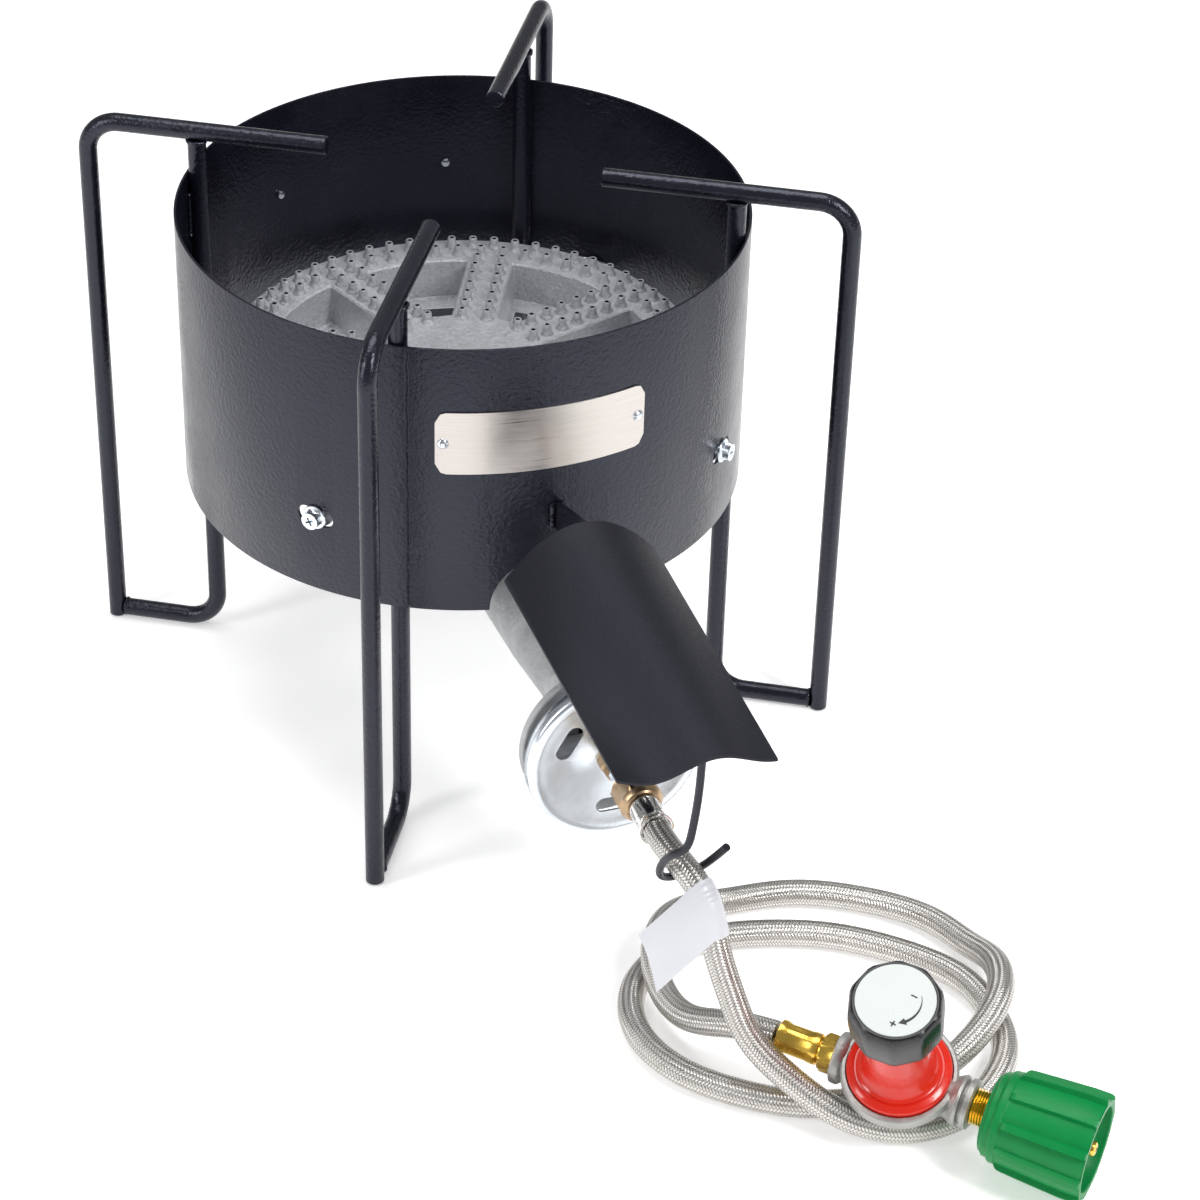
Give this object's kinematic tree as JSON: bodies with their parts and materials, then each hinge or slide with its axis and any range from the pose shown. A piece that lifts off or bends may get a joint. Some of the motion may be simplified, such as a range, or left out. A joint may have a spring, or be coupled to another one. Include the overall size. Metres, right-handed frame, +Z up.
{
  "type": "propane burner stand",
  "caption": "Round steel windscreen on four rod legs over a cast gas burner, with a mixer tube, heat shield, braided hose and an adjustable regulator.",
  "frame": {"origin": "on the floor, under the middle of the stand measured without the hose and regulator", "axes": "+Z up; -Y along the mixer tube, from the burner out to the gas fitting and regulator; +X to the right when looking along +Y"},
  "size_m": [0.367, 0.7078, 0.3248],
  "materials": {
    "black_paint": "semi-gloss, orange peel",
    "black_wire": "satin",
    "dark_collar": "semi-gloss",
    "silver_casting": "silver paint on rough casting",
    "zinc_plate": "bright zinc",
    "brushed_plate": "brushed",
    "dull_brass": "machined, dull",
    "gold_brass": "polished",
    "chrome_ferrule": "polished",
    "steel_braid": "woven wire",
    "white_tag": "satin film",
    "printed_disc": "satin film with an arc arrow",
    "die_casting": "as cast",
    "red_enamel": "gloss",
    "black_knob": "satin",
    "green_nut": "satin",
    "rubber": "matt",
    "spring_steel": "drawn wire"
  },
  "bodies": {
    "root": {"bonnet": "red_enamel", "burner_head": "silver_casting", "diaphragm": "rubber", "diaphragm_plate": "zinc_plate", "flange_screw_1": "zinc_plate", "flange_screw_2": "zinc_plate", "flare_nut": "dull_brass", "heat_shield": "black_paint", "hose": "steel_braid", "hose_collar": "dark_collar", "hose_ferrule": "chrome_ferrule", "hose_hook": "black_wire", "hose_tag": "white_tag", "inlet_nipple": "gold_brass", "inlet_probe": "gold_brass", "leg_back_inner_rod": "black_paint", "leg_back_outer_rod": "black_paint", "leg_front_inner_rod": "black_paint", "leg_front_outer_rod": "black_paint", "leg_left_inner_rod": "black_paint", "leg_left_outer_rod": "black_paint", "leg_right_inner_rod": "black_paint", "leg_right_outer_rod": "black_paint", "mixer_tube": "silver_casting", "mount_screw_1": "zinc_plate", "mount_screw_2": "zinc_plate", "mount_screw_3": "zinc_plate", "mount_screw_4": "zinc_plate", "nameplate": "brushed_plate", "nameplate_rivet_left": "brushed_plate", "nameplate_rivet_right": "brushed_plate", "orifice_fitting": "zinc_plate", "orifice_jet": "dull_brass", "outlet_fitting": "gold_brass", "probe_seal": "rubber", "rating_plate": "brushed_plate", "rating_plate_rivet_left": "brushed_plate", "rating_plate_rivet_right": "brushed_plate", "regulator_body": "die_casting", "regulator_ferrule": "gold_brass", "regulator_spring": "spring_steel", "shield_bracket": "black_paint", "valve_poppet": "gold_brass", "windscreen": "black_paint"},
    "air_shutter": {"air_shutter": "zinc_plate"},
    "shutter_lock_nut": {"shutter_lock_nut": "dull_brass"},
    "adjusting_knob": {"adjusting_knob": "black_knob", "knob_disc": "printed_disc"},
    "spring_seat": {"adjusting_screw": "zinc_plate", "spring_button": "zinc_plate"},
    "handwheel_nut": {"handwheel_nut": "green_nut"}
  },
  "joints": [
    {"name": "shutter_slide", "type": "slide", "parent": "root", "child": "air_shutter", "axis": [0, -1, 0], "range_m": [-0.0075, 0.0045]},
    {"name": "lock_nut_turn", "type": "hinge", "parent": "air_shutter", "child": "shutter_lock_nut", "pos_m": [0, -0.17073, 0.117], "axis": [0, -1, 0], "continuous": true},
    {"name": "knob_turn", "type": "hinge", "parent": "root", "child": "adjusting_knob", "pos_m": [0.07139, -0.3616, 0.09356], "axis": [-0.2214, -0.2844, 0.9328], "range_deg": [-1080, 0]},
    {"name": "seat_slide", "type": "slide", "parent": "root", "child": "spring_seat", "axis": [-0.2214, -0.2844, 0.9328], "range_m": [-0.0046, 0], "deforming": ["regulator_spring"]},
    {"name": "nut_turn", "type": "hinge", "parent": "root", "child": "handwheel_nut", "pos_m": [0.13991, -0.39489, 0.02892], "axis": [0.7187, -0.6941, -0.041], "continuous": true}
  ],
  "couplings": [
    {"joint": "seat_slide", "follows": "knob_turn", "m_per_rad": 0.00023873}
  ]
}
